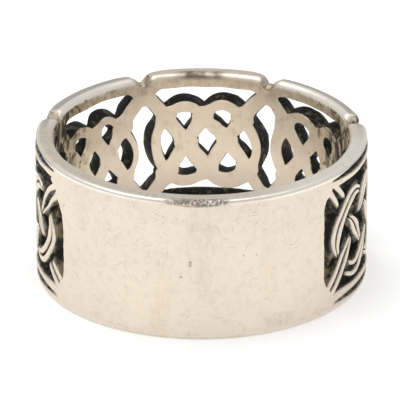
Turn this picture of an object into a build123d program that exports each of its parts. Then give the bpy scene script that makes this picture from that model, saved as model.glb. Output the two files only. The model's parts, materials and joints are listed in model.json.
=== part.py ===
from build123d import *
from collections import namedtuple
import math
import os

os.makedirs("parts", exist_ok=True)

# Knot ring in cast and blackened silver, standing on its edge with the finger hole upright.
# Millimetres and degrees. The origin is on the ring's axis, in the plane of the edge it rests on.
# The middle knot faces +Y and the plain back faces -Y. Angles are counter-clockwise from +Y,
# seen from above, so they grow to the right for someone who looks at the ring from outside.

# Band
bore_diameter = 19.0
band_wall = 1.2
band_height = 9.6
outer_edge_round = 0.22
bore_edge_round = 0.18

# Plain back, between its two straight ends
plain_start = 125.0
plain_end = 226.5

# Rims, which are strands of the weave too, and the dips between their scallops
rim_height = 0.86
notch_depth = 0.5
notch_floor = 0.4
scallop_round = 0.9

# Weave
strand_width = 0.95
hump_clearance = 0.75
notch_crossing_drop = 1.1
end_arm_span = 8.5

# How far back along its two straight runs each bend starts, as a share of a run
hump_turn = 0.72
side_turn = 0.91

# On a knot's grid: the row at which a hump peaks, and the column at which a side bend does
hump_row = 1.5
side_column = 2.5

# Relief on the outer face
groove_width = 0.24
groove_depth = 0.28
rim_groove_width = 0.34
rim_groove_inset = 4.0
under_dip = 0.36
under_run = 0.85
under_gap = 0.06

# Knots, in order round the front: where each stands, and the angle from one crossing to the next
Knot = namedtuple("Knot", "centre unit")
knots = (
    Knot(centre=-105.6, unit=8.0),
    Knot(centre=-51.5, unit=7.9),
    Knot(centre=-1.5, unit=7.8),
    Knot(centre=47.5, unit=7.8),
    Knot(centre=96.7, unit=7.8),
)

# Notches between one knot and the next
notch_angles = (-77.2, -27.0, 23.2, 72.8)

bore_radius = bore_diameter / 2
outer_radius = bore_radius + band_wall
middle_radius = bore_radius + band_wall / 2
middle_height = band_height / 2
field_half_height = middle_height - rim_height
unit_height = (field_half_height - hump_clearance - strand_width / 2) / hump_row

# How far the cutters run past the faces that they cut
overshoot = 0.5


def across(angle):
    """Length along the middle of the wall that an angle spans."""
    return middle_radius * math.radians(angle)


def radial_plane(angle, height=middle_height):
    """A plane through the axis that faces outwards at an angle, with x to the right and y up."""
    turn = math.radians(angle)
    right = (-math.cos(turn), -math.sin(turn), 0)
    outwards = (-math.sin(turn), math.cos(turn), 0)
    return Plane(origin=(0, 0, height), x_dir=right, z_dir=outwards)


def through_wall(shape, angle):
    """Prism of a flat shape, from inside the bore to outside the band, at an angle."""
    start = radial_plane(angle).offset(bore_radius - 2 * overshoot)
    return extrude(start * shape, amount=band_wall + 4 * overshoot)


def sector(radius_from, radius_to, height_from, height_to, start, end):
    """Part of a flat ring between two heights and two angles."""
    width = radius_to - radius_from
    height = height_to - height_from
    centre = ((radius_from + radius_to) / 2, (height_from + height_to) / 2)
    profile = Plane.XZ * Pos(*centre) * Rectangle(width, height)
    swept = revolve(profile, axis=Axis.Z, revolution_arc=end - start)
    return Rot(0, 0, start + 90) * swept


def bend_radius(start, corner, end, turn):
    """Radius of an arc that takes up a share of the shorter of a corner's two runs."""
    before = Vector(*start) - Vector(*corner)
    after = Vector(*end) - Vector(*corner)
    half_angle = math.radians(before.get_angle(after) / 2)
    return turn * min(before.length, after.length) * math.tan(half_angle)


def ribbon(points, width, turn=None):
    """Flat strip of one width along a straight line, or along two runs with a bend between them."""
    if turn is None:
        line = Line(points[0], points[-1])
    else:
        line = FilletPolyline(*points, radius=bend_radius(*points, turn))
    return make_face(offset(line, amount=width / 2, side=Side.BOTH).edges())


# Each stretch of strand runs between two crossings of its knot. Its points are columns and rows of
# the knot's own grid, and it is drawn flat round a column of its own, facing outwards there.
Stretch = namedtuple("Stretch", "column points turn")


def knot_stretches():
    """The strand stretches of one knot: straight diagonals, humps and side bends."""
    stretches = []
    for side in (-1, 1):
        for level in (-1, 1):
            diagonal = [(0, level), (2 * side, -level)]
            stretches.append(Stretch(side, diagonal, None))
            hump = [(0, level), (side, 2 * level), (2 * side, level)]
            stretches.append(Stretch(side, hump, hump_turn))
        bend = [(2 * side, 1), (3 * side, 0), (2 * side, -1)]
        stretches.append(Stretch(side_column * side, bend, side_turn))
    return stretches


def knot_crossings():
    """Columns and rows at which two strands of one knot cross."""
    inner = [(-1, 0), (1, 0), (0, -1), (0, 1)]
    corners = [(2 * side, level) for side in (-1, 1) for level in (-1, 1)]
    return inner + corners


def rising_strand_is_over(column):
    """Whether the strand that rises to the right lies on top, which changes at each column."""
    return column % 2 == 0


def slope_sign(start, end):
    """1 for a stretch that rises to the right, and -1 for one that falls."""
    return 1 if (end[0] - start[0]) * (end[1] - start[1]) > 0 else -1


def flat_point(knot, column, row, about):
    """A grid point in millimetres on the flat drawing round another angle."""
    return (across(knot.centre + column * knot.unit - about), row * unit_height)


# Arms run from a knot's corner crossing to the notch beside it, where they cross the next knot's
# arm and become its rim. Beside the plain back they bend into their own rim, a set angle further on.
Arm = namedtuple("Arm", "notch level rises about start crossing end")


def knot_arms():
    """Every arm of every knot, on a flat drawing round the middle of the arm."""
    arms = []
    for place, knot in enumerate(knots):
        for side in (-1, 1):
            neighbour = place + side
            corner_angle = knot.centre + 2 * side * knot.unit
            if 0 <= neighbour < len(knots):
                notch = min(place, neighbour)
                target_angle = notch_angles[notch]
                target_row = middle_height - notch_crossing_drop
                overrun = strand_width
            else:
                notch = None
                target_angle = corner_angle + side * end_arm_span
                target_row = middle_height - rim_height
                overrun = rim_height / 2
            about = (corner_angle + target_angle) / 2
            for level in (-1, 1):
                start = flat_point(knot, 2 * side, level, about)
                crossing = (across(target_angle - about), level * target_row)
                run = math.hypot(crossing[0] - start[0], crossing[1] - start[1])
                end = tuple(c + (c - s) * overrun / run for s, c in zip(start, crossing))
                rises = side * level > 0
                arms.append(Arm(notch, level, rises, about, start, crossing, end))
    return arms


def arm_direction(arm):
    """Direction of an arm on its flat drawing."""
    return (arm.crossing[0] - arm.start[0], arm.crossing[1] - arm.start[1])


def crossing_sketch(centre, direction, width):
    """Straight strip over a crossing, along a direction."""
    angle = math.degrees(math.atan2(direction[1], direction[0]))
    return Pos(*centre) * Rot(0, 0, angle) * Rectangle(4 * strand_width, width)


def grid_direction(knot, rising):
    """Direction of a rising or falling diagonal of a knot on the flat drawing."""
    return (across(knot.unit), unit_height if rising else -unit_height)


def under_wedges(angle, height, over_direction, under_direction):
    """Cutters that let the strand below slope down on both sides of the strand on top."""
    outwards = radial_plane(angle, height).z_dir
    right = radial_plane(angle, height).x_dir
    over = (right * over_direction[0] + Vector(0, 0, 1) * over_direction[1]).normalized()
    frame = Plane(origin=(0, 0, height), x_dir=outwards.cross(over), z_dir=over)
    over_turn = math.atan2(over_direction[1], over_direction[0])
    under_turn = math.atan2(under_direction[1], under_direction[0])
    crossing_sine = abs(math.sin(over_turn - under_turn))
    half_length = strand_width / 2 / crossing_sine + under_gap
    near = strand_width / 2 + under_gap
    wedges = []
    for side in (-1, 1):
        profile = Polygon(
            (side * near, outer_radius - under_dip),
            (side * (near + under_run), outer_radius),
            (side * (near + under_run), outer_radius + overshoot),
            (side * near, outer_radius + overshoot),
            align=None,
        )
        wedges.append(extrude(frame * profile, amount=half_length, both=True))
    return wedges


def notch_cutter(angle, level):
    """Cutter between two scallops of a rim, with rounded shoulders, at the top or the bottom."""
    edge = middle_height
    drop = scallop_round - notch_depth
    shoulder = math.sqrt(scallop_round ** 2 - drop ** 2)
    half_floor = notch_floor / 2
    top = half_floor + shoulder
    dip = Polygon(
        (-top, edge),
        (-half_floor, edge - notch_depth),
        (half_floor, edge - notch_depth),
        (top, edge),
        (top, edge + overshoot),
        (-top, edge + overshoot),
        align=None,
    )
    for side in (-1, 1):
        dip -= Pos(side * top, edge - scallop_round) * Circle(scallop_round)
    return through_wall(dip if level > 0 else mirror(dip, about=Plane.XZ), angle)


# The band, with its edges eased
band_profile = Pos(middle_radius, middle_height) * Rectangle(band_wall, band_height)
outer_corners = band_profile.vertices().group_by(Axis.X)[-1]
band_profile = fillet(outer_corners, outer_edge_round)
bore_corners = band_profile.vertices().group_by(Axis.X)[0]
band_profile = fillet(bore_corners, bore_edge_round)
band = revolve(Plane.XZ * band_profile, axis=Axis.Z)

# The weave, as prisms through the wall
strands = []
for knot in knots:
    for stretch in knot_stretches():
        about = knot.centre + stretch.column * knot.unit
        points = [flat_point(knot, column, row, about) for column, row in stretch.points]
        strands.append(through_wall(ribbon(points, strand_width, stretch.turn), about))
arms = knot_arms()
for arm in arms:
    strands.append(through_wall(ribbon([arm.start, arm.end], strand_width), arm.about))

# The openings are what the weave leaves of the field between the rims
field = sector(
    bore_radius - overshoot,
    outer_radius + overshoot,
    rim_height,
    band_height - rim_height,
    plain_end - 360,
    plain_start,
)
weave = strands[0].fuse(*strands[1:])
openings = field - weave

notches = [notch_cutter(angle, level) for angle in notch_angles for level in (-1, 1)]

# Grooves down the middle of each strand, broken where it passes under another
groove_prisms = []
for knot in knots:
    for stretch in knot_stretches():
        about = knot.centre + stretch.column * knot.unit
        points = [flat_point(knot, column, row, about) for column, row in stretch.points]
        groove = ribbon(points, groove_width, stretch.turn)
        ends = [(stretch.points[0], stretch.points[1]), (stretch.points[-1], stretch.points[-2])]
        if stretch.turn is None:
            middle = (stretch.column, 0)
            ends.append((middle, stretch.points[0]))
        for crossing, neighbour in ends:
            rises = slope_sign(crossing, neighbour) > 0
            if rises != rising_strand_is_over(crossing[0]):
                centre = flat_point(knot, crossing[0], crossing[1], about)
                over = grid_direction(knot, not rises)
                groove -= crossing_sketch(centre, over, strand_width + 2 * under_gap)
        groove_prisms.append(through_wall(groove, about))
for arm in arms:
    groove = ribbon([arm.start, arm.crossing], groove_width)
    over = (arm.crossing[0] - arm.start[0], arm.start[1] - arm.crossing[1])
    if not arm.rises:
        groove -= crossing_sketch(arm.start, over, strand_width + 2 * under_gap)
    if arm.rises and arm.notch is not None:
        groove -= crossing_sketch(arm.crossing, over, strand_width + 2 * under_gap)
    groove_prisms.append(through_wall(groove, arm.about))

skin = sector(outer_radius - groove_depth, outer_radius + overshoot, 0, band_height, 0, 360)
grooves = [part for prism in groove_prisms for part in (prism & skin).solids()]

# Grooves along the rims, one to each scallop
scallop_ends = (plain_end - 360,) + notch_angles + (plain_start,)
rim_grooves = []
for start, end in zip(scallop_ends, scallop_ends[1:]):
    for centre in (rim_height / 2, band_height - rim_height / 2):
        rim_grooves.append(
            sector(
                outer_radius - groove_depth,
                outer_radius + overshoot,
                centre - rim_groove_width / 2,
                centre + rim_groove_width / 2,
                start + rim_groove_inset,
                end - rim_groove_inset,
            )
        )

# Slopes where one strand dives under the next
wedges = []
for knot in knots:
    for column, row in knot_crossings():
        rising = grid_direction(knot, True)
        falling = grid_direction(knot, False)
        over, under = (rising, falling) if rising_strand_is_over(column) else (falling, rising)
        angle = knot.centre + column * knot.unit
        height = middle_height + row * unit_height
        wedges += under_wedges(angle, height, over, under)
for notch, angle in enumerate(notch_angles):
    for level in (-1, 1):
        pair = [arm for arm in arms if (arm.notch, arm.level) == (notch, level)]
        over = next(arm_direction(arm) for arm in pair if not arm.rises)
        under = next(arm_direction(arm) for arm in pair if arm.rises)
        height = middle_height + level * (middle_height - notch_crossing_drop)
        wedges += under_wedges(angle, height, over, under)

ring = band - openings
ring -= notches
ring -= wedges
ring -= rim_grooves
ring -= grooves

export_step(ring, "parts/knot_ring.step")
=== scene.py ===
import json
import math
from collections import namedtuple

import bpy
import numpy as np
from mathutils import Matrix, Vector, noise


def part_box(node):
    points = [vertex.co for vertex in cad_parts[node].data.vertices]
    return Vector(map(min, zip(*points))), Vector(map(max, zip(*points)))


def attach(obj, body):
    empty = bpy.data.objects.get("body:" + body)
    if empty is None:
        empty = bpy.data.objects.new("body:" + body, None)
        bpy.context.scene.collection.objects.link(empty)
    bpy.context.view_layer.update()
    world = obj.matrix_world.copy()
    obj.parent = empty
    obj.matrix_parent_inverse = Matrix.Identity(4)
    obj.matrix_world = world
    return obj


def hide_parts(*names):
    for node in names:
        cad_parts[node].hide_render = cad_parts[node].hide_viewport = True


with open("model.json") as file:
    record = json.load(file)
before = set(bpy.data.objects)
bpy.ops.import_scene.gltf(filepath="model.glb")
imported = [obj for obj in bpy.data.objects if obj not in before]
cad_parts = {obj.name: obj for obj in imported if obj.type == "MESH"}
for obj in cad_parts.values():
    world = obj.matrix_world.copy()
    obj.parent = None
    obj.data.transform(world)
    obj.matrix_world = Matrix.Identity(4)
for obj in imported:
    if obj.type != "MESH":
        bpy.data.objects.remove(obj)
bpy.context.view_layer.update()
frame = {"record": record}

# The weave. Round strands of silver cross over and under in five knots and run on into the two
# rims. They were carved in wax and cast in one with the ring, and each has a groove down its
# middle.
mm = 0.001
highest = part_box("knot_ring")[1]
outside = highest[0]
tall = highest[2]
bore = frame["record"]["mounts"][0]["dims"]["r_mm"] * mm
wall_middle = (outside + bore) / 2
middle = tall / 2

# Knots, in order round the front: angle of the middle, angle from one crossing to the next, how
# far the top row of crossings leans towards growing angles, and how far the knot sits below centre.
Knot = namedtuple("Knot", "centre unit lean drop")
knots = (
    Knot(centre=-105.6, unit=8.0, lean=0.0, drop=0.03 * mm),
    Knot(centre=-51.5, unit=7.9, lean=-0.75, drop=0.03 * mm),
    Knot(centre=-1.5, unit=7.8, lean=0.75, drop=0.07 * mm),
    Knot(centre=47.5, unit=7.8, lean=0.5, drop=0.25 * mm),
    Knot(centre=96.7, unit=7.8, lean=0.0, drop=0.03 * mm),
)

# Where the rims cross at each notch: angle, and depth of the crossing from the top and the bottom.
Notch = namedtuple("Notch", "angle from_top from_bottom")
notches = (
    Notch(angle=-77.2, from_top=1.15 * mm, from_bottom=1.15 * mm),
    Notch(angle=-27.0, from_top=1.05 * mm, from_bottom=1.05 * mm),
    Notch(angle=23.2, from_top=1.2 * mm, from_bottom=0.75 * mm),
    Notch(angle=72.8, from_top=1.15 * mm, from_bottom=1.15 * mm),
)
notch_angles = [notch.angle for notch in notches]

# The height from one row of crossings to the next, how far a rim's middle lies from the ring's end,
# and how far past a notch it comes level. Strands bend back at this column and at this row.
row = 1.8 * mm
rim_line_drop = 0.42 * mm
rim_turn = 1.5 * mm
side_column = 3
hump_level = 2

# Crossings the carver set off the grid: knot, column, row, and how far round and up.
Slip = namedtuple("Slip", "knot column level angle rise")
slips = (
    Slip(knot=0, column=-1, level=0, angle=-0.5, rise=0.45 * mm),
    Slip(knot=0, column=-2, level=-1, angle=-1.2, rise=0.1 * mm),
    Slip(knot=1, column=2, level=1, angle=0.6, rise=0.15 * mm),
    Slip(knot=1, column=1, level=0, angle=-0.3, rise=0.1 * mm),
    Slip(knot=1, column=2, level=-1, angle=-0.4, rise=0.0),
    Slip(knot=2, column=-1, level=0, angle=-0.8, rise=0.22 * mm),
    Slip(knot=2, column=0, level=-1, angle=0.0, rise=-0.13 * mm),
    Slip(knot=2, column=2, level=1, angle=-0.9, rise=0.05 * mm),
    Slip(knot=2, column=2, level=-1, angle=0.3, rise=-0.27 * mm),
    Slip(knot=2, column=-2, level=-1, angle=-1.0, rise=0.05 * mm),
    Slip(knot=3, column=-2, level=1, angle=0.8, rise=0.05 * mm),
    Slip(knot=3, column=-2, level=-1, angle=0.0, rise=-0.12 * mm),
    Slip(knot=3, column=0, level=1, angle=-0.5, rise=0.0),
    Slip(knot=4, column=2, level=-1, angle=0.5, rise=0.38 * mm),
)

# Bends unlike the rest: knot, column, row, how far each swings out, how wide its foot is, and how
# far its groove widens to where it goes under.
Swung = namedtuple("Swung", "knot column level swing foot groove", defaults=(1.0,))
swung = (
    Swung(knot=0, column=-1, level=-2, swing=2.0, foot=1.0, groove=3.0),
    Swung(knot=1, column=1, level=2, swing=2.6, foot=1.0),
    Swung(knot=1, column=3, level=0, swing=2.6, foot=1.5),
    Swung(knot=2, column=3, level=0, swing=2.8, foot=1.0),
    Swung(knot=2, column=1, level=2, swing=2.1, foot=1.0),
    Swung(knot=2, column=1, level=-2, swing=1.75, foot=0.9),
    Swung(knot=2, column=-1, level=-2, swing=1.9, foot=1.22),
    Swung(knot=3, column=1, level=2, swing=2.6, foot=1.0),
    Swung(knot=3, column=-3, level=0, swing=2.65, foot=0.65),
    Swung(knot=4, column=3, level=0, swing=2.1, foot=1.0),
)

# Where the arms beside the plain back run into the rim: knot, row, angle, depth below the top, how
# far they broaden towards a rim's width, and how wide their groove opens where they set off.
ArmEnd = namedtuple("ArmEnd", "knot level angle depth rim groove", defaults=(1.0,))
arm_ends = (
    ArmEnd(knot=0, level=1, angle=-128.9, depth=1.0 * mm, rim=0.8, groove=1.6),
    ArmEnd(knot=0, level=-1, angle=-131.2, depth=8.2 * mm, rim=0.5),
    ArmEnd(knot=4, level=-1, angle=123.0, depth=8.15 * mm, rim=0.8),
)

# The last knot's top arm is broad, and bends over to run level into the plain back: its nodes after
# the crossing, by angle, depth, how far round and up it heads, and how open its groove is.
Broad = namedtuple("Broad", "angle depth along rise groove")
broad_arm = (
    Broad(angle=117.6, depth=2.0 * mm, along=1.0 * mm, rise=0.75 * mm, groove=0.7),
    Broad(angle=120.3, depth=1.6 * mm, along=0.5 * mm, rise=0.28 * mm, groove=0.05),
    Broad(angle=124.0, depth=1.35 * mm, along=0.6 * mm, rise=0.1 * mm, groove=0.0),
)

# How nearly it is as wide as a rim, along it and at the crossing. There its groove is wide open, and
# it leaves a little less straight than other strands.
broad_width = 0.9
broad_start_width = 0.6
broad_start_groove = 1.5
broad_start_pull = 0.8

# Where each rim's groove runs out beside the plain back: way round, row and angle.
GrooveStop = namedtuple("GrooveStop", "way level angle")
groove_stops = (
    GrooveStop(way=1, level=1, angle=121.0),
    GrooveStop(way=1, level=-1, angle=122.0),
    GrooveStop(way=-1, level=1, angle=-130.6),
    GrooveStop(way=-1, level=-1, angle=-130.2),
)

# It closes over the first angle, and the rim runs on into the back for the second. The groove of
# an arm that runs into the rim is only partly open there.
groove_fade = 14.0
past_stop = 3.0
arm_end_groove = 0.4

# Towards the plain back the bottom rim broadens to this many times its gain over a strand, runs
# further in, starts to close its groove early, and flares at its foot.
low_rim_broadening = 2.4
low_rim_inwards = 0.16 * mm
low_rim_groove = 0.55
low_rim_flare = 0.4 * mm

# Half the width of a strand's crests, of its foot inside the bore, and of its groove. Where the
# groove is closed it keeps a share of its width, and as it opens its depth comes back sooner.
strand_half = 0.43 * mm
strand_half_at_bend = 0.53 * mm
foot_half = 0.55 * mm
foot_half_at_hump = 0.4 * mm
foot_half_at_low_hump = 0.5 * mm
foot_half_at_side = 0.36 * mm
groove_half = 0.11 * mm
rim_half = 0.56 * mm
rim_foot_half = 0.53 * mm
low_rim_foot_half = 0.27 * mm
rim_groove_half = 0.25 * mm
groove_depth = 0.28 * mm
closed_groove = 0.15
groove_deepening = 1.6

# Half of a strand's section, from the middle of the groove out to its foot inside the bore. Each
# point drops so far below the outside. Its distance from the middle is a share of the groove, of the
# crest, and of how far a wider foot flares or a narrower one tapers, less what is eased off the edge
# at the bore.
Ridge = namedtuple("Ridge", "drop groove crest flare taper ease", defaults=(1.0, 1.0, 0.0, 0.0, 0.0))
half_section = (
    Ridge(drop=groove_depth, groove=0.0, crest=0.0),
    Ridge(drop=0.88 * groove_depth, groove=0.7, crest=0.0),
    Ridge(drop=0.03 * mm, crest=0.0),
    Ridge(drop=-0.02 * mm, crest=0.2),
    Ridge(drop=-0.09 * mm, crest=0.5),
    Ridge(drop=-0.02 * mm, crest=0.8),
    Ridge(drop=0.1 * mm),
    Ridge(drop=0.22 * mm, flare=0.45),
    Ridge(drop=0.45 * mm, flare=0.85, taper=0.2),
    Ridge(drop=0.8 * mm, flare=1.05, taper=0.6),
    Ridge(drop=1.04 * mm, flare=1.0, taper=1.0),
    Ridge(drop=1.12 * mm, flare=1.0, taper=1.0, ease=0.02 * mm),
    Ridge(drop=1.18 * mm, flare=1.0, taper=1.0, ease=0.04 * mm),
    Ridge(drop=1.22 * mm, flare=1.0, taper=1.0, ease=0.08 * mm),
    Ridge(drop=1.5 * mm, flare=1.0, taper=1.0, ease=0.08 * mm),
)

# How far a strand sinks where it goes under another, and over what length it comes back up.
dip_depth = 0.4 * mm
dip_start = 0.3 * mm
dip_end = 1.25 * mm

# Its crest narrows to a point there: by what share, and over what length.
point_share = 0.85
point_start = 0.5 * mm
point_end = 2.2 * mm

# Where it goes under, the corners beside it are filled: how wide, and from how far off.
corner_fill = 0.28 * mm
corner_fill_outside = 0.1 * mm
fill_start = 0.4 * mm
fill_end = 0.95 * mm

# How far bends swing out past the grid and pull along it, and how much the arms at notches bow.
side_swing = 2.35
hump_swing = 2.0
bend_pull = 2.0
arm_bow = 10.0

# A bend of this radius or less counts as a full hump or side bend.
full_bend = 3.0 * mm

# The carver's hand: how far the pattern strays from its grid, over what distance, how fast that
# begins beside the ring's ends, and by what share the width of a strand varies. The patterns keep
# the three kinds apart.
stray = 0.07 * mm
stray_length = 1.7 * mm
stray_rise = 1.0 * mm
width_stray = 0.1
along_pattern = 1.0
height_pattern = 4.0
width_pattern = 7.0

# From one section of a strand to the next.
station = 0.14 * mm


def flat(angle):
    """Distance round the middle of the wall."""
    return wall_middle * math.radians(angle)


def wrapped(along, height, radius):
    """Points of the flat pattern, wrapped round the ring at given radii."""
    turn = along / wall_middle
    return np.stack([-radius * np.sin(turn), radius * np.cos(turn), height], axis=-1)


def hand(along, height, pattern, length):
    """Smooth hand-made variation over the flat pattern, from -1 to 1."""
    values = [
        noise.noise(Vector((x / length, z / length, pattern)))
        for x, z in zip(np.ravel(along), np.ravel(height))
    ]
    return np.reshape(values, np.shape(along))


def solid(name, points, triangles):
    """A mesh object from points and triangles."""
    mesh = bpy.data.meshes.new(name)
    mesh.from_pydata(np.reshape(points, (-1, 3)).tolist(), [], np.asarray(triangles).tolist())
    mesh.update()
    return bpy.data.objects.new(name, mesh)


def tube_triangles(stations, corners, first_centre, last_centre):
    """Triangles of a closed tube, whose ends are fans about two points of their own."""
    number = np.arange(stations * corners).reshape(stations, corners)
    here, ahead = number[:-1], number[1:]
    here_next, ahead_next = np.roll(here, -1, axis=1), np.roll(ahead, -1, axis=1)
    lower = np.stack([here, ahead_next, here_next], axis=-1).reshape(-1, 3)
    upper = np.stack([here, ahead, ahead_next], axis=-1).reshape(-1, 3)
    first, last = number[0], number[-1]
    start = np.stack([np.full(corners, first_centre), first, np.roll(first, -1)], axis=-1)
    end = np.stack([np.full(corners, last_centre), np.roll(last, -1), last], axis=-1)
    return np.concatenate([lower, upper, start, end])


def smooth(value):
    """Eases a value from 0 to 1."""
    held = np.clip(value, 0, 1)
    return held * held * (3 - 2 * held)


# A strand goes through nodes, in a direction at each. There it is strand (0) or rim (1) or broader.
# Its groove is closed (0), open (1) or wider, and its foot may be wider or narrower than usual.
Node = namedtuple("Node", "point direction rim groove foot", defaults=(0, 1, 1))


def strand(name, nodes, under):
    """A length of strand through its nodes, sunk at the ends where it goes under another."""
    # A smooth line through the nodes, and how far it is rim, open and broad at the foot on the way.
    line, rim, open_groove, footing = [], [], [], []
    for start, end in zip(nodes, nodes[1:]):
        steps = max(4, round(np.linalg.norm(end.point - start.point) / station))
        t = np.linspace(0, 1, steps + 1)[:, None]
        curve = (
            (2 * t**3 - 3 * t**2 + 1) * start.point
            + (t**3 - 2 * t**2 + t) * start.direction
            + (3 * t**2 - 2 * t**3) * end.point
            + (t**3 - t**2) * end.direction
        )
        kept = 1 if line else 0
        line.append(curve[kept:])
        rim.append(start.rim + (end.rim - start.rim) * smooth(t[kept:, 0]))
        open_groove.append(start.groove + (end.groove - start.groove) * t[kept:, 0])
        footing.append(start.foot + (end.foot - start.foot) * t[kept:, 0])
    parts = (line, rim, open_groove, footing)
    line, rim, open_groove, footing = (np.concatenate(part) for part in parts)

    # How much it bends, and how its foot follows from that.
    run = np.gradient(line, axis=0)
    run /= np.linalg.norm(run, axis=1)[:, None]
    side = np.stack([-run[:, 1], run[:, 0]], axis=-1)
    lengths = np.linalg.norm(np.diff(line, axis=0), axis=1)
    passed = np.concatenate([[0], np.cumsum(lengths)])
    bend = np.linalg.norm(np.gradient(run, passed, axis=0), axis=1)
    bent = np.tanh(bend * full_bend) * (rim.max() == 0)
    is_high = line[:, 1].mean() > middle
    foot_at_hump = foot_half_at_hump if is_high else foot_half_at_low_hump
    foot_at_bend = foot_at_hump + (foot_half_at_side - foot_at_hump) * run[:, 1] ** 2

    # Where it goes under another it sinks, narrows to a point and fills the corners beside it.
    sink = np.zeros(len(line))
    fill = np.zeros(len(line))
    crest = np.ones(len(line))
    for goes_under, away, tip in zip(under, (passed, passed[-1] - passed), (nodes[0], nodes[-1])):
        if goes_under:
            sink += dip_depth * (1 - smooth((away - dip_start) / (dip_end - dip_start)))
            narrowing = 1 - np.clip((away - point_start) / (point_end - point_start), 0, 1)
            crest -= point_share * (1 - rim.min()) * (tip.groove <= 1) * narrowing
            fill += (1 - np.clip((away - fill_start) / (fill_end - fill_start), 0, 1)) ** 2

    # Its half widths at the crest, the foot and the groove.
    thick = 1 + width_stray * hand(line[:, 0], line[:, 1], width_pattern, stray_length)
    half = strand_half + (strand_half_at_bend - strand_half) * bent
    rim_foot = rim_foot_half if is_high else low_rim_foot_half
    half = (half + (rim_half - half) * rim) * thick + corner_fill_outside * fill
    foot = (foot_half + (foot_at_bend - foot_half) * bent) * footing
    foot += (rim_foot - foot) * np.minimum(rim, 1) + low_rim_flare * np.maximum(rim - 1, 0)
    foot = foot * thick + corner_fill * fill
    groove = groove_half + (rim_groove_half - groove_half) * rim
    groove = groove * (closed_groove + (1 - closed_groove) * open_groove)
    depth_share = np.minimum(groove_deepening * open_groove, 1)

    # Its section, mirrored, at every station.
    across, drop = [], []
    for ridge in half_section:
        reach = ridge.groove * groove * crest + ridge.crest * (half - groove) * crest
        reach += (ridge.flare > 0) * half * (1 - crest)
        reach += ridge.flare * np.maximum(foot - half, 0) + ridge.taper * np.minimum(foot - half, 0)
        across.append(reach - ridge.ease)
        in_groove = ridge.drop > 0 and ridge.crest == 0
        drop.append(ridge.drop * (depth_share if in_groove else np.ones(len(line))))
    across, drop = np.stack(across, axis=1), np.stack(drop, axis=1)
    across = np.concatenate([-across[:, :0:-1], across], axis=1)
    drop = np.concatenate([drop[:, :0:-1], drop], axis=1)
    foot_drop = half_section[-1].drop
    radius = outside - np.minimum(drop + np.where(drop < foot_drop / 2, sink[:, None], 0), foot_drop)

    # The line's place and the carver's hand, on the flat pattern and then round the ring.
    along = line[:, :1] + across * side[:, :1]
    height = line[:, 1:] + across * side[:, 1:]
    inside = rim_line_drop + rim_half - np.abs(height - middle) + middle
    drift = stray * smooth(inside / stray_rise - 1)
    along = along + drift * hand(along, height, along_pattern, stray_length)
    height = height + drift * hand(along, height, height_pattern, stray_length)
    points = wrapped(along, height, radius)
    stations, corners = along.shape
    centres = wrapped(line[[0, -1], 0], line[[0, -1], 1], np.full(2, outside - foot_drop))
    points = np.concatenate([points.reshape(-1, 3), centres])
    centre = stations * corners
    return solid(name, points, tube_triangles(stations, corners, centre, centre + 1))


def crossing(place, column, level):
    """Where two strands cross, on the flat pattern."""
    knot = knots[place]
    angle = knot.centre + column * knot.unit + level * knot.lean
    height = middle - knot.drop + level * row
    for slip in slips:
        if (slip.knot, slip.column, slip.level) == (place, column, level):
            angle, height = angle + slip.angle, height + slip.rise
    return np.array([flat(angle), height])


def notch_point(notch, level):
    """Where two rims cross as they turn down into the weave."""
    place = notches[notch]
    return np.array([flat(place.angle), tall - place.from_top if level > 0 else place.from_bottom])


def bowed(start, end, share):
    """Direction of a bowed arm between two points: share 1 at the start, -1 at the end."""
    arm = end - start
    turn = math.radians(arm_bow) * share * np.sign(arm[0] * arm[1])
    return np.array([
        arm[0] * math.cos(turn) - arm[1] * math.sin(turn),
        arm[0] * math.sin(turn) + arm[1] * math.cos(turn),
    ])


def onward(place, column, level, sideways, upwards):
    """The nodes from a crossing to the next on a strand, and whether the strand goes under there."""
    knot = knots[place]
    start = crossing(place, column, level)
    step = np.array([flat(knot.unit), 0]) * sideways + np.array([0, row]) * upwards
    next_column, next_level = column + sideways, level + upwards
    turns_at_side = abs(next_column) == side_column and next_level == 0
    turns_at_hump = abs(next_level) == hump_level and abs(next_column) == 1
    if turns_at_side or turns_at_hump:
        # It bends back at the edge of the knot.
        back = np.array([-1, 1]) if turns_at_side else np.array([1, -1])
        far = (column, -level) if turns_at_side else (column + 2 * sideways, level)
        usual = side_swing if turns_at_side else hump_swing
        own = Swung(place, next_column, next_level, swing=usual, foot=1.0)
        own = next((bend for bend in swung if bend[:3] == own[:3]), own)
        reach = step * ([own.swing, bend_pull] if turns_at_side else [bend_pull, own.swing])
        end = Node(crossing(place, *far), reach * back, groove=own.groove, foot=own.foot)
        return [Node(start, reach, foot=own.foot), end], True
    if abs(next_column) == side_column:
        if (place, upwards) == (len(knots) - 1, 1) and sideways > 0:
            # It is the broad arm.
            nodes = [Node(start, broad_start_pull * step, broad_start_width, broad_start_groove)]
            for part in broad_arm:
                point = np.array([flat(part.angle), tall - part.depth])
                heading = np.array([part.along, part.rise])
                nodes.append(Node(point, heading, broad_width, part.groove))
            return nodes, False
        # It is an arm, to the notch beside the knot or into the rim beside the plain back.
        notch = place if sideways > 0 else place - 1
        rim, groove, end_groove = 0, 1, 1
        goes_under = 0 <= notch < len(notch_angles)
        if goes_under:
            end = notch_point(notch, upwards)
        else:
            stop = next(end for end in arm_ends if (end.knot, end.level) == (place, upwards))
            end = np.array([flat(stop.angle), tall - stop.depth])
            rim, groove, end_groove = stop.rim, stop.groove, arm_end_groove
        first = Node(start, bowed(start, end, 1), rim, groove)
        return [first, Node(end, bowed(start, end, -1), rim, end_groove)], goes_under
    return [Node(start, step), Node(crossing(place, next_column, next_level), step)], True


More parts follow.
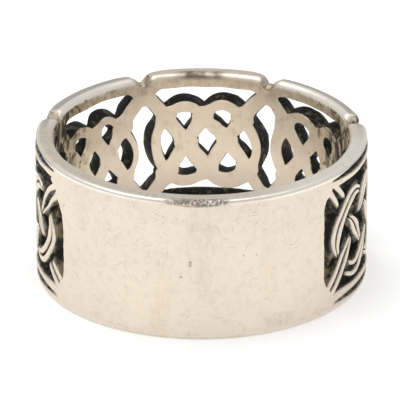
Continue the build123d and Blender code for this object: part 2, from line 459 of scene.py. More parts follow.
def rim_run(notch, level, way):
    """The nodes of a rim, from one notch to the next or into the plain back."""
    start = notch_point(notch, level)
    line_height = middle + level * (middle - rim_line_drop)
    own = notch if way > 0 else notch + 1
    arm = bowed(crossing(own, 2 * way, level), start, -1)
    turned = np.array([start[0] + way * rim_turn, line_height])
    ahead = np.array([way * rim_turn, 0])
    next_notch = notch + way
    if not 0 <= next_notch < len(notch_angles):
        # It runs out in the plain back.
        stop = next(stop for stop in groove_stops if (stop.way, stop.level) == (way, level))
        broad = low_rim_broadening if level < 0 else 1
        inwards = low_rim_inwards if level < 0 else 0
        groove = low_rim_groove if level < 0 else 1
        fade = np.array([flat(stop.angle - way * groove_fade), line_height + inwards])
        closed = np.array([flat(stop.angle), line_height + inwards])
        end = np.array([flat(stop.angle + way * past_stop), line_height + inwards])
        return [
            Node(start, arm),
            Node(turned, ahead, 1),
            Node(fade, ahead, 1 + (broad - 1) / 2, groove),
            Node(closed, ahead, broad, 0),
            Node(end, ahead, broad, 0),
        ], False
    end = notch_point(next_notch, level)
    turning = np.array([end[0] - way * rim_turn, line_height])
    far = next_notch + 1 if way > 0 else next_notch
    next_arm = -bowed(crossing(far, -2 * way, level), end, -1)
    nodes = [Node(start, arm), Node(turned, ahead, 1), Node(turning, ahead, 1), Node(end, next_arm)]
    return nodes, True


def joined(back, ahead):
    """One strand from two that leave the same crossing in opposite directions."""
    reversed_nodes = [node._replace(direction=-node.direction) for node in back[0][::-1]]
    meeting, other = reversed_nodes.pop(), ahead[0][0]
    rim, groove = max(meeting.rim, other.rim), max(meeting.groove, other.groove)
    meeting = meeting._replace(rim=rim, groove=groove)
    return reversed_nodes + [meeting] + ahead[0][1:], (back[1], ahead[1])


# Each crossing's upper strand is one length, from where it comes out from under its neighbour to
# where it goes under the next.
lengths = []
for place in range(len(knots)):
    corners = [(side * 2, level) for side in (-1, 1) for level in (-1, 1)]
    for column, level in [(-1, 0), (1, 0), (0, -1), (0, 1)] + corners:
        rise = 1 if column % 2 == 0 else -1
        back = onward(place, column, level, -1, -rise)
        ahead = onward(place, column, level, 1, rise)
        lengths.append(strand(f"crossing_{place}_{column}_{level}", *joined(back, ahead)))
for notch in range(len(notch_angles)):
    for level in (-1, 1):
        place = notch + 1 if level > 0 else notch
        start = notch_point(notch, level)
        corner = crossing(place, -2 * level, level)
        arm = [Node(start, -bowed(corner, start, -1)), Node(corner, -bowed(corner, start, 1))], True
        rim = rim_run(notch, level, -level)
        lengths.append(strand(f"notch_{notch}_{level}", *joined(arm, rim)))
last = len(notch_angles) - 1
for name, (nodes, goes_under) in (
    ("rim_top_last", rim_run(last, 1, 1)),
    ("rim_bottom_first", rim_run(0, -1, -1)),
    ("arm_top_first", onward(0, -2, 1, -1, 1)),
    ("arm_bottom_last", onward(len(knots) - 1, 2, -1, 1, -1)),
):
    lengths.append(strand(name, nodes, (True, goes_under)))

# The plain back. A solid band of silver closes the ring behind the knots, and swells out into the
# rims at its four corners. It is part of the same casting, filed flat and polished.
# Its ends, by depth below the top: the angle at which each side stops.
BackEnd = namedtuple("BackEnd", "depth right left")
back_ends = (
    BackEnd(depth=-0.5 * mm, right=-129.0, left=120.0),
    BackEnd(depth=0.75 * mm, right=-129.6, left=118.5),
    BackEnd(depth=1.1 * mm, right=-129.3, left=115.9),
    BackEnd(depth=1.3 * mm, right=-130.4, left=118.2),
    BackEnd(depth=1.5 * mm, right=-132.4, left=120.8),
    BackEnd(depth=2.1 * mm, right=-133.5, left=120.5),
    BackEnd(depth=2.4 * mm, right=-133.5, left=122.4),
    BackEnd(depth=3.0 * mm, right=-133.5, left=124.1),
    BackEnd(depth=4.0 * mm, right=-133.5, left=124.9),
    BackEnd(depth=6.0 * mm, right=-133.4, left=125.0),
    BackEnd(depth=7.2 * mm, right=-133.2, left=124.7),
    BackEnd(depth=7.6 * mm, right=-132.2, left=124.0),
    BackEnd(depth=7.95 * mm, right=-130.2, left=122.0),
    BackEnd(depth=8.4 * mm, right=-129.2, left=120.6),
    BackEnd(depth=10.1 * mm, right=-129.0, left=120.0),
)
back_rows = 64
back_columns = 70
back_margin = 0.3 * mm

# Its sides are a little ragged: by how many degrees, and over what depth.
back_stray = 0.35
back_stray_length = 0.5 * mm
back_pattern = 3.0

depths = np.linspace(back_ends[0].depth, back_ends[-1].depth, back_rows)
end_depths = [end.depth for end in back_ends]
places = [Vector((depth / back_stray_length, back_pattern, 0.0)) for depth in depths]
ragged = back_stray * np.array([noise.noise(place) for place in places])
left = np.interp(depths, end_depths, [end.left for end in back_ends]) + ragged
right = np.interp(depths, end_depths, [end.right for end in back_ends]) + 360 + ragged[::-1]
share = np.linspace(0, 1, back_columns)
angles = left[:, None] + (right - left)[:, None] * share
heights = np.broadcast_to((tall - depths)[:, None], angles.shape)
sheets = [
    wrapped(flat(1) * angles, heights, np.full(angles.shape, radius))
    for radius in (bore - back_margin, outside + back_margin)
]
number = np.arange(2 * back_rows * back_columns).reshape(2, back_rows, back_columns)


def quads(a, b, c, d):
    """Two triangles for each four corners."""
    first = np.stack([a, c, b], axis=-1).reshape(-1, 3)
    second = np.stack([a, d, c], axis=-1).reshape(-1, 3)
    return [first, second]


inner, outer = number
triangles = quads(outer[:-1, :-1], outer[:-1, 1:], outer[1:, 1:], outer[1:, :-1])
triangles += quads(inner[:-1, :-1], inner[1:, :-1], inner[1:, 1:], inner[:-1, 1:])
triangles += quads(inner[0, :-1], inner[0, 1:], outer[0, 1:], outer[0, :-1])
triangles += quads(inner[-1, :-1], outer[-1, :-1], outer[-1, 1:], inner[-1, 1:])
triangles += quads(inner[:-1, 0], outer[:-1, 0], outer[1:, 0], inner[1:, 0])
triangles += quads(inner[:-1, -1], inner[1:, -1], outer[1:, -1], outer[:-1, -1])
plain_back = solid("plain_back", np.stack(sheets), np.concatenate(triangles))

# The turned shape that all of it was filed down to: a ring with eased edges, and a dip in both
# rims at each notch. The rims are rounder than the plain back, from wear and from the polisher.
plain_start = 125.0
plain_end = -133.5
plain_round = 0.22 * mm
rim_rounds = (0.35 * mm, 0.5 * mm, 0.2 * mm, 0.3 * mm, 0.4 * mm)
rounding_fade = 12.0
notch_round = 0.6 * mm
notch_round_reach = 1.8 * mm
bore_round = 0.2 * mm
bore_rounds = (0.35 * mm, 0.45 * mm, 0.42 * mm, 0.45 * mm, 0.35 * mm)

# The dip at each notch: its depth, the width of its flat floor and the radius of its sides.
notch_depth = 0.5 * mm
notch_floor = 0.36 * mm
scallop_round = 0.9 * mm

# Points on each eased edge. Its sections lie a degree apart, and closer near the notches.
corner_steps = 6
spacing = 1.0
fine_spacing = 0.25
near_notch = 6.0
ring_angles = set(np.arange(-180, 180, spacing).round(3))
for angle in notch_angles:
    ring_angles.update(np.arange(angle - near_notch, angle + near_notch, fine_spacing).round(3))
ring_angles = np.array(sorted(ring_angles))
from_notch = np.min([np.abs(flat(1) * (ring_angles - angle)) for angle in notch_angles], axis=0)
shoulder = math.sqrt(scallop_round**2 - (scallop_round - notch_depth) ** 2)
beyond = np.clip(from_notch - notch_floor / 2, 0, shoulder)
fall = scallop_round - np.sqrt(scallop_round**2 - (shoulder - beyond) ** 2)
to_plain = np.minimum(np.abs(ring_angles - plain_start), np.abs(ring_angles - plain_end))
in_weave = (ring_angles > plain_end) & (ring_angles < plain_start)
worn = smooth(to_plain / rounding_fade) * in_weave
own_knot = np.searchsorted(notch_angles, ring_angles)
rim_round = np.array(rim_rounds)[own_knot]
outer_round = plain_round + (rim_round - plain_round) * worn
inner_round = bore_round + (np.array(bore_rounds)[own_knot] - bore_round) * worn
outer_round += (notch_round - outer_round) * (1 - smooth(from_notch / notch_round_reach))

quarter = np.radians(np.linspace(0, 90, corner_steps))
turned = []
for radial, upright in ((1, -1), (1, 1), (-1, 1), (-1, -1)):
    for turn in quarter[::-1] if radial * upright < 0 else quarter:
        rounding = outer_round if radial > 0 else inner_round
        edge = outside if radial > 0 else bore
        radius = edge - radial * rounding * (1 - math.cos(turn))
        end = tall - fall if upright > 0 else fall
        height = end - upright * rounding * (1 - math.sin(turn))
        turned.append(np.stack([flat(1) * ring_angles, height, radius], axis=-1))
turned = np.stack(turned, axis=1)
points = wrapped(turned[..., 0], turned[..., 1], turned[..., 2])
number = np.arange(points.shape[0] * points.shape[1]).reshape(points.shape[:2])
ahead = np.roll(number, -1, axis=0)
faces = quads(number, np.roll(number, -1, axis=1), np.roll(ahead, -1, axis=1), ahead)
turned_ring = solid("turned_ring", points, np.concatenate(faces))

# The casting in one piece: strands fused with the plain back, and filed down to the turned shape.
weld_reach = 0.004 * mm
sharp_angle = math.radians(32)
strands = bpy.data.collections.new("strands")
for length in lengths:
    strands.objects.link(length)
scene = bpy.context.scene
scene.collection.children.link(strands)
scene.collection.objects.link(turned_ring)
scene.collection.objects.link(plain_back)
fuse = plain_back.modifiers.new("fuse", "BOOLEAN")
fuse.operation = "UNION"
fuse.operand_type = "COLLECTION"
fuse.collection = strands
fuse.solver = "MANIFOLD"
trim = plain_back.modifiers.new("trim", "BOOLEAN")
trim.operation = "INTERSECT"
trim.object = turned_ring
trim.solver = "MANIFOLD"
weld = plain_back.modifiers.new("weld", "WELD")
weld.merge_threshold = weld_reach
bpy.context.view_layer.update()
fused = plain_back.evaluated_get(bpy.context.evaluated_depsgraph_get())
casting = bpy.data.meshes.new_from_object(fused)
casting.name = "ring"
ring = bpy.data.objects.new("ring", casting)
scene.collection.objects.link(ring)
for spare in lengths + [plain_back, turned_ring]:
    bpy.data.objects.remove(spare)
bpy.data.collections.remove(strands)
casting.shade_smooth()
casting.set_sharp_from_angle(angle=sharp_angle)
even = ring.modifiers.new("even", "WEIGHTED_NORMAL")
even.keep_sharp = True

# Silver. The high places are polished and lightly scratched, and wear has made their borders
# ragged. Liver of sulphur has blackened the grooves, the openings and the rough cast places.
soot = (0.018, 0.019, 0.018)
bark_brown = (0.05, 0.04, 0.03)
mark_brown = (0.13, 0.10, 0.075)
dark_reflection_brown = (0.15, 0.105, 0.075)
skin_brown = (0.20, 0.15, 0.085)
worn_groove_grey = (0.25, 0.225, 0.19)
notch_brown = (0.30, 0.23, 0.16)
recess_brown = (0.31, 0.255, 0.15)
slope_grey = (0.33, 0.29, 0.24)
pit_brown = (0.36, 0.30, 0.24)
rim_stain_brown = (0.40, 0.31, 0.23)
stain_tan = (0.50, 0.41, 0.24)
scratch_tan = (0.50, 0.44, 0.36)
band_grey = (0.50, 0.44, 0.37)
rubbed_and_shaded_grey = (0.50, 0.46, 0.42)
low_shade_tan = (0.52, 0.43, 0.34)
front_rim_shade_grey = (0.52, 0.49, 0.45)
mottle_tan = (0.60, 0.53, 0.44)
streak_tan = (0.74, 0.63, 0.50)
cool_silver = (0.76, 0.685, 0.588)
warm_silver = (0.805, 0.71, 0.585)
bore_rose = (0.95, 0.82, 0.65)
highlight_white = (0.97, 0.92, 0.84)
rim_light_white = (0.97, 0.93, 0.87)
bore_ivory = (1.0, 0.92, 0.74)

silver = bpy.data.materials.new("oxidised_silver")
silver.use_nodes = True
tree = silver.node_tree
shader = tree.nodes["Principled BSDF"]


def node(kind, **settings):
    """A node of the silver, with its settings and its plain inputs. Inputs are named or numbered."""
    made = tree.nodes.new(kind)
    for key, value in settings.items():
        if key == "inputs":
            for socket, held in value.items():
                if isinstance(held, bpy.types.NodeSocket):
                    tree.links.new(held, made.inputs[socket])
                else:
                    made.inputs[socket].default_value = held
        else:
            setattr(made, key, value)
    return made


def maths(operation, first, second=0.0, clamp=False):
    """One sum on one or two values."""
    made = node("ShaderNodeMath", operation=operation, use_clamp=clamp, inputs={0: first, 1: second})
    return made.outputs[0]


def plus(first, second):
    """The sum of two values."""
    return maths("ADD", first, second)


def partly(mask, amount):
    """A mask at part of its strength."""
    return maths("MULTIPLY", mask, amount)


def either(first, second):
    """The greater of two masks."""
    return maths("MAXIMUM", first, second)


def both(first, second):
    """One mask within another."""
    return maths("MULTIPLY", first, second)


def without(mask):
    """All that a mask leaves out."""
    return maths("SUBTRACT", 1.0, mask)


def between(start, end, mask):
    """From one value, where the mask is 0, to the other, where it is 1."""
    return plus(start, partly(mask, end - start))


def above(value, low, high):
    """0 below low, 1 above high, eased between them."""
    made = node("ShaderNodeMapRange", interpolation_type="SMOOTHSTEP", inputs={"Value": value})
    made.inputs["From Min"].default_value = low
    made.inputs["From Max"].default_value = high
    return made.outputs["Result"]


def below(value, low, high):
    """1 below low, 0 above high, eased between them."""
    return without(above(value, low, high))


def blend(share, first, second):
    """Colour between two colours."""
    made = node("ShaderNodeMix", data_type="RGBA", inputs={0: share})
    for socket, colour in ((6, first), (7, second)):
        if isinstance(colour, bpy.types.NodeSocket):
            tree.links.new(colour, made.inputs[socket])
        else:
            made.inputs[socket].default_value = (*colour, 1.0)
    return made.outputs[2]


def tinted(surface, colour, mask, amount=1.0):
    """A surface's colour, turned towards another colour within a mask."""
    return blend(mask if amount == 1.0 else partly(mask, amount), surface, colour)


def clouds(where, size, detail=2.0, roughness=0.5, stretch=(1.0, 1.0, 1.0)):
    """Cloudy variation from 0 to 1 whose largest patches are about one size across."""
    scaled = node("ShaderNodeMapping", inputs={"Vector": where, "Scale": [part / size for part in stretch]})
    made = node("ShaderNodeTexNoise", inputs={"Vector": scaled.outputs[0], "Scale": 1.0})
    made.inputs["Detail"].default_value = detail
    made.inputs["Roughness"].default_value = roughness
    return made.outputs["Fac"]


def patches(where, size, low, high, detail=3.0, roughness=0.5, stretch=(1.0, 1.0, 1.0)):
    """Patches with soft edges, where such clouds are thick."""
    return above(clouds(where, size, detail, roughness, stretch), low, high)


# Where a point is: its place, its distance from the axis and from the nearer end of the ring, how
# far it is to the side, and its place on the ring's face as if that were unrolled.
place = node("ShaderNodeTexCoord").outputs["Object"]
x, y, up = node("ShaderNodeSeparateXYZ", inputs={0: place}).outputs
from_axis = maths("SQRT", plus(maths("MULTIPLY", x, x), maths("MULTIPLY", y, y)))
from_end = maths("SUBTRACT", middle, maths("ABSOLUTE", maths("SUBTRACT", up, middle)))
to_side = maths("ABSOLUTE", x)
around = maths("MULTIPLY", maths("ARCTAN2", x, maths("MULTIPLY", y, -1.0)), outside)
unrolled = node("ShaderNodeCombineXYZ", inputs={0: around, 1: up, 2: from_axis}).outputs[0]


def spot(angle, height, width, tall_by):
    """A soft-edged patch on the ring, by its angle to the right of the plain back's middle."""
    sideways = maths("DIVIDE", maths("SUBTRACT", around, outside * math.radians(angle)), width)
    upwards = maths("DIVIDE", maths("SUBTRACT", up, height), tall_by)
    apart = plus(maths("MULTIPLY", sideways, sideways), maths("MULTIPLY", upwards, upwards))
    return below(apart, low=0.3, high=1.0)


# The polish takes the outside, the bore and the edges, and its border is a little ragged.
raggedness = 0.07 * mm
ragged_clouds = clouds(place, size=0.25 * mm, detail=4.0, roughness=0.6)
ragged_edge = partly(maths("SUBTRACT", ragged_clouds, 0.5), raggedness)
worn_radius = plus(from_axis, ragged_edge)
worn_end = plus(from_end, ragged_edge)
on_outside = above(worn_radius, low=outside - 0.09 * mm, high=outside - 0.04 * mm)
bore_radius = maths("SUBTRACT", from_axis, ragged_edge)
in_bore = below(bore_radius, low=bore + 0.015 * mm, high=bore + 0.05 * mm)
on_edge = below(worn_end, low=0.1 * mm, high=0.2 * mm)
inner_edge = below(from_axis, low=bore + 0.5 * mm, high=bore + 0.65 * mm)
inner_edge = both(inner_edge, below(from_end, low=0.5 * mm, high=0.6 * mm))
polished = either(either(on_outside, in_bore), either(on_edge, inner_edge))

# The dips at the notches are polished too, all but a few rough places.
in_notch = 0.0
for angle in notch_angles:
    opposite = angle - math.copysign(180, angle)
    off = maths("ABSOLUTE", maths("SUBTRACT", around, outside * math.radians(opposite)))
    in_notch = plus(in_notch, below(off, low=0.5 * mm, high=0.85 * mm))
in_notch = both(in_notch, below(worn_end, low=0.85 * mm, high=1.1 * mm))
rough_place = patches(place, size=0.4 * mm, low=0.55, high=0.66, detail=4.0, roughness=0.6)
polished = either(polished, both(in_notch, without(both(rough_place, without(on_outside)))))

# The recesses are black with brown places, most of all in the slots beside the plain back. The
# sloping sides just below the crests are grey, and so are two wide grooves.
left_slot = both(
    above(around, low=-11.5 * mm, high=-11.2 * mm),
    below(around, low=-9.6 * mm, high=-9.0 * mm),
)
left_slot_top = spot(angle=-58.0, height=6.3 * mm, width=1.5 * mm, tall_by=1.5 * mm)
right_slot = spot(angle=48.5, height=3.0 * mm, width=1.1 * mm, tall_by=1.7 * mm)
browner = plus(partly(left_slot, 0.25), partly(right_slot, 0.14))
browner = plus(browner, partly(left_slot_top, 0.14))
blacker_elsewhere = 0.12
brown_clouds = clouds(place, size=0.6 * mm, detail=5.0, roughness=0.6)
brown_clouds = plus(brown_clouds, maths("SUBTRACT", browner, blacker_elsewhere))
recess = blend(above(brown_clouds, low=0.38, high=0.62), soot, recess_brown)
on_slope = above(worn_radius, low=outside - 0.26 * mm, high=outside - 0.07 * mm)
on_slope = both(on_slope, patches(place, size=0.3 * mm, low=0.3, high=0.6))
recess = tinted(recess, slope_grey, on_slope)
left_groove = spot(angle=-63.0, height=7.5 * mm, width=0.9 * mm, tall_by=0.8 * mm)
right_groove = spot(angle=62.6, height=2.9 * mm, width=0.7 * mm, tall_by=0.6 * mm)
recess = tinted(recess, worn_groove_grey, either(left_groove, right_groove), amount=0.8)

# Polished metal: two tones, streaks up and down, mottling, specks, scratches and pits.
metal = blend(patches(place, size=3.0 * mm, low=0.35, high=0.7), warm_silver, cool_silver)
streaks = patches(
    unrolled, size=1.1 * mm, low=0.45, high=0.75, detail=4.0, roughness=0.6, stretch=(1.0, 0.14, 1.0)
)
metal = tinted(metal, streak_tan, streaks, amount=0.45)
mottling = patches(place, size=0.5 * mm, low=0.47, high=0.72, detail=6.0, roughness=0.7)
metal = tinted(metal, mottle_tan, mottling, amount=0.36)
specks = patches(place, size=0.16 * mm, low=0.6, high=0.75, roughness=0.7)
metal = tinted(metal, scratch_tan, specks, amount=0.3)

# Fine scratches lie in five directions, by their angle to the edge, and come in clusters.
Scratches = namedtuple("Scratches", "angle low high")
scratch_sets = (
    Scratches(angle=12, low=0.69, high=0.75),
    Scratches(angle=-28, low=0.7, high=0.76),
    Scratches(angle=55, low=0.69, high=0.75),
    Scratches(angle=-50, low=0.68, high=0.74),
    Scratches(angle=84, low=0.68, high=0.75),
)
scratch_width = 0.075 * mm
scratch_length = 1.0 * mm
thinned = (scratch_width / scratch_length, 1.0, 0.3)
scratches = 0.0
for each in scratch_sets:
    turn = (0, 0, math.radians(each.angle))
    turned = node("ShaderNodeMapping", inputs={"Vector": unrolled, "Rotation": turn}).outputs[0]
    drawn = patches(turned, scratch_width, each.low, each.high, detail=1.0, stretch=thinned)
    scratches = either(scratches, drawn)
clusters = patches(place, size=2.2 * mm, low=0.42, high=0.62)
scratches = both(scratches, between(0.35, 1.0, clusters))
metal = tinted(metal, scratch_tan, scratches, amount=0.55)
pits = patches(place, size=0.11 * mm, low=0.73, high=0.8, detail=1.0)
pits = both(pits, patches(place, size=1.5 * mm, low=0.45, high=0.65))
metal = tinted(metal, pit_brown, pits, amount=0.6)

# The flat ends of the rims are greyer from rubbing, and brushed across, and painted shade makes the grey
# stronger away from the bore. Their outer edge has a painted highlight, and round the front it is their
# inner edge that has a painted highlight and the outer side that has painted shade. They are whitened
# to the right of the plain back with painted light.
on_flat = below(from_end, low=0.02 * mm, high=0.1 * mm)
brushed = patches(
    unrolled, size=0.13 * mm, low=0.35, high=0.65, roughness=0.6, stretch=(1.0, 1.0, 0.12)
)
brushed = both(brushed, patches(place, size=0.9 * mm, low=0.3, high=0.6, detail=4.0, roughness=0.6))
# Partly real rubbing and brushing, partly painted shade that grows stronger away from the bore.
off_bore = above(from_axis, low=bore + 0.25 * mm, high=bore + 0.6 * mm)
rubbing_and_shade = both(between(0.25, 1.0, off_bore), between(0.06, 0.48, brushed))
metal = tinted(metal, rubbed_and_shaded_grey, both(on_flat, rubbing_and_shade))
off_centre = above(to_side, low=2.0 * mm, high=6.0 * mm)
round_front = both(above(y, low=0.0, high=3.0 * mm), off_centre)
corner = maths("SUBTRACT", from_axis, from_end)
# Painted highlight along the rims' outer rounded edge, stronger on the top rim and weaker in the middle.
painted_edge_highlight = above(plus(corner, ragged_edge), low=outside - 0.38 * mm, high=outside - 0.22 * mm)
painted_edge_highlight = both(painted_edge_highlight, below(from_end, low=0.2 * mm, high=0.5 * mm))
painted_edge_highlight = both(painted_edge_highlight, between(0.2, 1.0, above(up, low=middle, high=tall)))
painted_edge_highlight = both(painted_edge_highlight, between(0.4, 1.0, off_centre))
painted_edge_highlight = both(painted_edge_highlight, between(1.0, 0.2, round_front))
# Painted shade on the outer side of the front rims' flat ends.
painted_outer_shade = both(on_flat, above(corner, low=bore + 0.35 * mm, high=bore + 0.6 * mm))
metal = tinted(metal, front_rim_shade_grey, both(painted_outer_shade, round_front))
inner_corner = plus(plus(from_axis, from_end), ragged_edge)
# Painted highlight on the inner rounded edge of the front rims.
painted_inner_highlight = below(inner_corner, low=bore + 0.42 * mm, high=bore + 0.6 * mm)
painted_edge_highlight = either(painted_edge_highlight, both(painted_inner_highlight, round_front))
metal = tinted(metal, highlight_white, painted_edge_highlight, amount=0.75)
# Painted light whitens the rims' flat ends to the right of the plain back.
painted_light_right = both(above(x, low=2.0 * mm, high=7.0 * mm), below(y, low=-2.0 * mm, high=1.0 * mm))
metal = tinted(metal, rim_light_white, both(painted_light_right, on_flat), amount=0.6)

# The bore is rosier, like ivory at the sides, and painted shade darkens it low down.
metal = tinted(metal, bore_rose, in_bore, amount=0.55)
bore_side = both(in_bore, above(to_side, low=5.5 * mm, high=8.5 * mm))
metal = tinted(metal, bore_ivory, bore_side, amount=0.5)
# Painted shade: the bore is darkened low down.
painted_low_shade = both(in_bore, below(up, low=1.0 * mm, high=4.4 * mm))
metal = tinted(metal, low_shade_tan, painted_low_shade, amount=0.6)

# Brown casting skin is left under the rims and at the sides of the bore, where it is like bark.
off_middle = above(to_side, low=4.0 * mm, high=6.0 * mm)
far_side = above(to_side, low=7.9 * mm, high=8.8 * mm)
under_rim = both(in_bore, below(from_end, low=1.0 * mm, high=1.4 * mm))
grain = patches(place, size=0.5 * mm, low=0.33, high=0.67, detail=6.0, roughness=0.65)
rim_stain = both(both(under_rim, grain), between(0.4, 0.8, off_middle))
rim_stain = both(rim_stain, between(1.0, 0.3, far_side))
rim_stain = both(rim_stain, between(1.0, 0.5, above(x, low=3.0 * mm, high=6.0 * mm)))
metal = tinted(metal, rim_stain_brown, rim_stain)
on_humps = both(off_middle, above(up, low=6.4 * mm, high=7.4 * mm))
more_skin = partly(above(to_side, low=6.4 * mm, high=9.0 * mm), 0.16)
more_skin = plus(more_skin, partly(on_humps, 0.05))
stain_clouds = plus(clouds(place, size=0.9 * mm, detail=5.0, roughness=0.55), more_skin)
stain = both(above(stain_clouds, low=0.58, high=0.74), in_bore)
metal = tinted(metal, stain_tan, stain, amount=0.38)
skin_clouds = plus(clouds(place, size=0.5 * mm, detail=5.0, roughness=0.6), more_skin)
skin = both(above(skin_clouds, low=0.67, high=0.78), in_bore)
metal = tinted(metal, skin_brown, skin, amount=0.8)
bark = patches(
    unrolled, size=0.6 * mm, low=0.47, high=0.55, detail=4.0, roughness=0.65, stretch=(1.0, 0.4, 1.0)
)
bark = both(both(bark, far_side), in_bore)
metal = tinted(metal, bark_brown, bark, amount=0.9)
skin = either(skin, bark)

# A greyer rubbed band runs down the middle of the plain back.
rubbed = patches(
    unrolled, size=0.5 * mm, low=0.35, high=0.7, detail=5.0, roughness=0.7, stretch=(1.0, 0.3, 1.0)
)
band = spot(angle=0.3, height=6.2 * mm, width=1.3 * mm, tall_by=4.2 * mm)
metal = tinted(metal, band_grey, both(band, rubbed), amount=0.3)

# Marks of wear, each a spot with broken edges: dents and scuffs on the outside, and brown marks in
# the bore. The long mark across the near rim's top edge is a painted dark reflection, not wear.
Mark = namedtuple("Mark", "angle height width tall_by depth")
dents_and_dark_reflection = (
    Mark(angle=-3.9, height=5.29 * mm, width=0.12 * mm, tall_by=0.26 * mm, depth=0.75),
    Mark(angle=-6.9, height=4.36 * mm, width=0.16 * mm, tall_by=0.1 * mm, depth=0.4),
    Mark(angle=14.3, height=5.73 * mm, width=0.08 * mm, tall_by=0.08 * mm, depth=0.5),
    Mark(angle=18.9, height=5.69 * mm, width=0.08 * mm, tall_by=0.08 * mm, depth=0.4),
    Mark(angle=-54.6, height=7.32 * mm, width=0.1 * mm, tall_by=0.09 * mm, depth=0.8),
    Mark(angle=60.5, height=9.6 * mm, width=0.1 * mm, tall_by=0.1 * mm, depth=0.7),
    Mark(angle=27.5, height=0.9 * mm, width=1.3 * mm, tall_by=0.6 * mm, depth=0.14),
    # A painted dark reflection along the middle of the near rim's top outer edge, not a dent.
    Mark(angle=-1.5, height=9.48 * mm, width=2.6 * mm, tall_by=0.32 * mm, depth=0.85),
)
bore_marks = (
    Mark(angle=117.6, height=7.66 * mm, width=0.5 * mm, tall_by=0.35 * mm, depth=0.7),
    Mark(angle=120.2, height=5.65 * mm, width=0.42 * mm, tall_by=0.9 * mm, depth=0.9),
    Mark(angle=100.9, height=7.77 * mm, width=0.8 * mm, tall_by=0.6 * mm, depth=0.9),
    Mark(angle=126.3, height=7.18 * mm, width=0.22 * mm, tall_by=0.55 * mm, depth=0.9),
    Mark(angle=-114.2, height=7.04 * mm, width=0.28 * mm, tall_by=0.45 * mm, depth=0.9),
    Mark(angle=-118.6, height=5.91 * mm, width=0.4 * mm, tall_by=0.32 * mm, depth=0.6),
    Mark(angle=-105.0, height=7.24 * mm, width=0.9 * mm, tall_by=0.6 * mm, depth=0.9),
    Mark(angle=-126.4, height=7.32 * mm, width=0.3 * mm, tall_by=0.25 * mm, depth=0.5),
)
least_of_bore_mark = 0.7
broken = patches(place, size=0.2 * mm, low=0.38, high=0.6, detail=5.0, roughness=0.75)
outer_half = above(from_axis, low=outside - 0.55 * mm, high=outside - 0.3 * mm)
outer_broken = both(broken, outer_half)
in_bore_mark = both(either(broken, least_of_bore_mark), in_bore)
marks_and_dark_reflection = 0.0
for marks, shown in ((bore_marks, in_bore_mark), (dents_and_dark_reflection, outer_broken)):
    for mark in marks:
        patch = both(spot(*mark[:4]), shown)
        marks_and_dark_reflection = either(marks_and_dark_reflection, partly(patch, mark.depth))
metal = tinted(metal, mark_brown, marks_and_dark_reflection)

# A painted dark reflection lies on the inner side of the front knot's rim, and brown is left in the
# notches.
from_front = maths("SUBTRACT", math.pi * outside, maths("ABSOLUTE", around))
# Painted dark reflection across the middle of the front rim's rounded inner top.
painted_dark_reflection = below(from_front, low=0.9 * mm, high=2.3 * mm)
painted_dark_reflection = both(painted_dark_reflection, above(up, low=9.1 * mm, high=9.45 * mm))
painted_dark_reflection = both(painted_dark_reflection, below(from_axis, low=bore + 0.4 * mm, high=bore + 0.75 * mm))
painted_dark_reflection = both(painted_dark_reflection, patches(place, size=1.2 * mm, low=0.3, high=0.6))
metal = tinted(metal, dark_reflection_brown, painted_dark_reflection, amount=0.9)
least_in_notch = 0.35
notch_grain = patches(place, size=0.5 * mm, low=0.35, high=0.65, detail=5.0, roughness=0.7)
notch_tint = both(in_notch, maths("ADD", least_in_notch, notch_grain, clamp=True))
notch_tint = both(notch_tint, between(0.8, 0.2, in_bore))
metal = tinted(metal, notch_brown, notch_tint)

# The colours meet at the border of the polish. What is worn, stained or rough is also duller.
polished_roughness = 0.38
recess_added_roughness = 0.32
recess_metallic = 0.35
tree.links.new(blend(polished, recess, metal), shader.inputs["Base Color"])
dulled = plus(partly(mottling, 0.1), partly(either(skin, marks_and_dark_reflection), 0.2))
dulled = plus(dulled, partly(either(in_notch, painted_dark_reflection), 0.2))
dulled = maths("SUBTRACT", dulled, partly(painted_edge_highlight, 0.05))
dulled = plus(dulled, partly(without(polished), recess_added_roughness))
tree.links.new(plus(polished_roughness, dulled), shader.inputs["Roughness"])
tree.links.new(between(recess_metallic, 1.0, polished), shader.inputs["Metallic"])

# The surface is a little wavy from hand polishing, grainy where it is rough cast, and cut into by
# the scratches and marks.
polished_grain = 0.12
wave_height = 0.9
scratch_depth = 0.12
cut_depth = 0.6
grainy = clouds(place, size=0.14 * mm, detail=4.0, roughness=0.7)
grainy = both(grainy, plus(polished_grain, without(polished)))
wavy = partly(clouds(place, size=1.3 * mm), wave_height)
cut_into = plus(partly(scratches, scratch_depth), either(skin, marks_and_dark_reflection))
surface = maths("SUBTRACT", plus(grainy, wavy), partly(cut_into, cut_depth))
bump = node("ShaderNodeBump", inputs={"Height": surface, "Distance": 0.05 * mm, "Strength": 1.0})
tree.links.new(bump.outputs[0], shader.inputs["Normal"])
casting.materials.clear()
casting.materials.append(silver)
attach(ring, "root")
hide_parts("knot_ring")

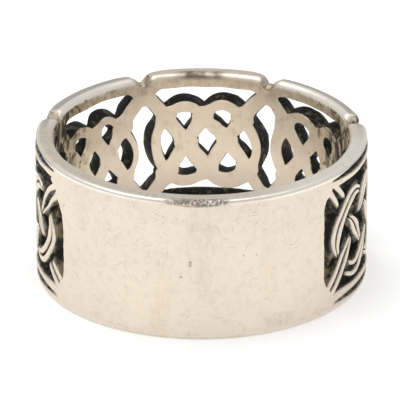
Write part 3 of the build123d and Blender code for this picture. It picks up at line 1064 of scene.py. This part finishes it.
# The table and the room. A flat sheet of white paper under the ring, a window overhead and pale
# walls all round, as for a shop's photograph.
floor_half = 0.6
floor_corners = [(floor_half * x, floor_half * y, 0) for x, y in ((-1, -1), (1, -1), (1, 1), (-1, 1))]
floor_mesh = bpy.data.meshes.new("floor")
floor_mesh.from_pydata(floor_corners, [], [(0, 1, 2, 3)])
floor = bpy.data.objects.new("floor", floor_mesh)
scene.collection.objects.link(floor)
paper = bpy.data.materials.new("white_paper")
paper.use_nodes = True
paper_shader = paper.node_tree.nodes["Principled BSDF"]
paper_shader.inputs["Base Color"].default_value = (0.85, 0.85, 0.85, 1)
paper_shader.inputs["Roughness"].default_value = 0.9
paper_shader.inputs["Emission Color"].default_value = (1, 1, 1, 1)
paper_shader.inputs["Emission Strength"].default_value = 0.32
floor_mesh.materials.append(paper)

world = bpy.data.worlds.new("room")
scene.world = world
world.use_nodes = True
air = world.node_tree.nodes["Background"]
air.inputs["Color"].default_value = (1.0, 1.0, 1.0, 1)
air.inputs["Strength"].default_value = 0.66

window = bpy.data.lights.new("window", "AREA")
window.shape = "RECTANGLE"
window.size = 0.25
window.size_y = 0.25
window.energy = 0.42
window_frame = bpy.data.objects.new("window", window)
window_frame.location = (-0.05, 0.02, 0.3)
towards_ring = Vector((0, 0, middle)) - window_frame.location
window_frame.rotation_euler = towards_ring.to_track_quat("-Z", "Y").to_euler()
scene.collection.objects.link(window_frame)

# The camera: as far off, as high and as long a lens as the photograph's outline gives.
camera_distance = 0.363
camera_rise = math.radians(24.5)
camera_data = bpy.data.cameras.new("camera")
camera_data.sensor_width = 36.0
camera_data.lens = 506.1
camera_data.shift_x = -0.00375
camera_data.shift_y = 0.00155
camera_data.clip_start = 0.01
camera = bpy.data.objects.new("camera", camera_data)
camera.location = (
    0,
    -camera_distance * math.cos(camera_rise),
    middle + camera_distance * math.sin(camera_rise),
)
camera.rotation_euler = (math.radians(90) - camera_rise, 0, 0)
scene.collection.objects.link(camera)
scene.camera = camera
scene.view_settings.view_transform = "Standard"

print("ring: %d points, %d triangles" % (
    len(casting.vertices), sum(len(face.vertices) - 2 for face in casting.polygons)))
